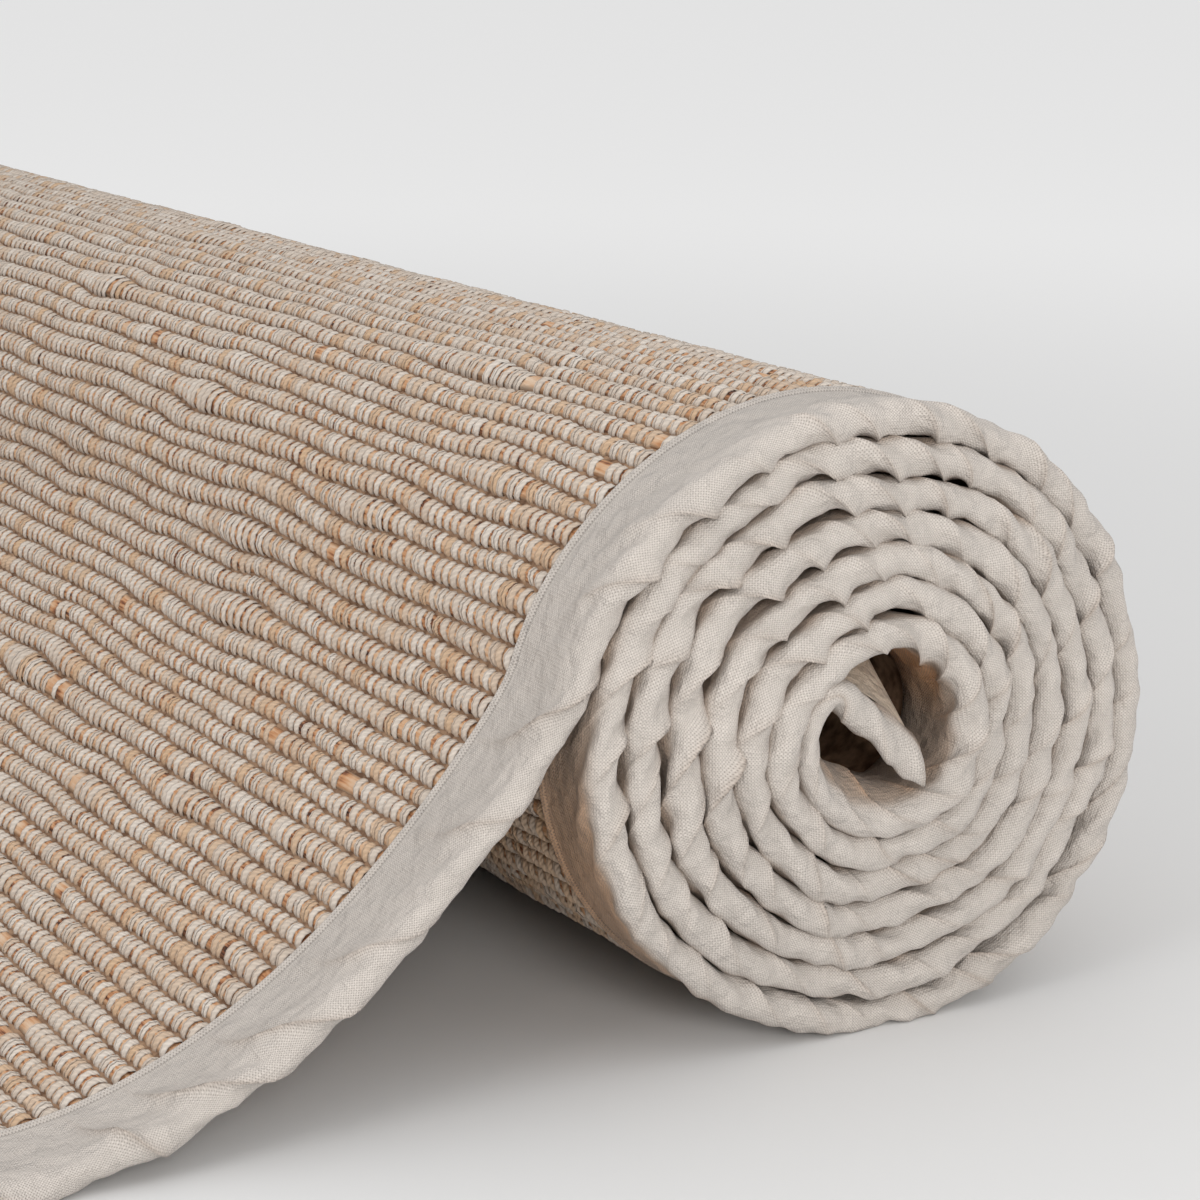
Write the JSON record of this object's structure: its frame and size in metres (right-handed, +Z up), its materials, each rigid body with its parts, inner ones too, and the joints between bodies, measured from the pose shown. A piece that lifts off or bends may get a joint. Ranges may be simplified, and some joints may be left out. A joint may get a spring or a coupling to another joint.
{
  "type": "rolled banana fibre mat",
  "caption": "Floor mat of thick banana fibre ribs bound with cotton, wound in a spiral with an open core, its outer end loose and lying on the floor.",
  "frame": {"origin": "on the floor, under the middle of the whole thing, roll and loose end together", "axes": "+Z up, +Y along the roll away from the end with its layers standing out, +X from the loose end towards the roll"},
  "size_m": [0.35, 0.6232, 0.1111],
  "materials": {
    "weave": "tan banana fibre ribs wrapped in off-white cotton warp loops, matt",
    "cotton": "unbleached plain-weave cotton binding, matt, creased",
    "cotton_core": "the same cotton inside the roll, smooth and matt"
  },
  "bodies": {
    "root": {"roll_field": "weave", "roll_binding_near": "cotton", "roll_binding_far": "cotton", "core_binding": "cotton_core", "loose_field": "weave", "loose_binding_near": "cotton", "loose_binding_far": "cotton", "loose_binding_end": "cotton"}
  },
  "joints": []
}
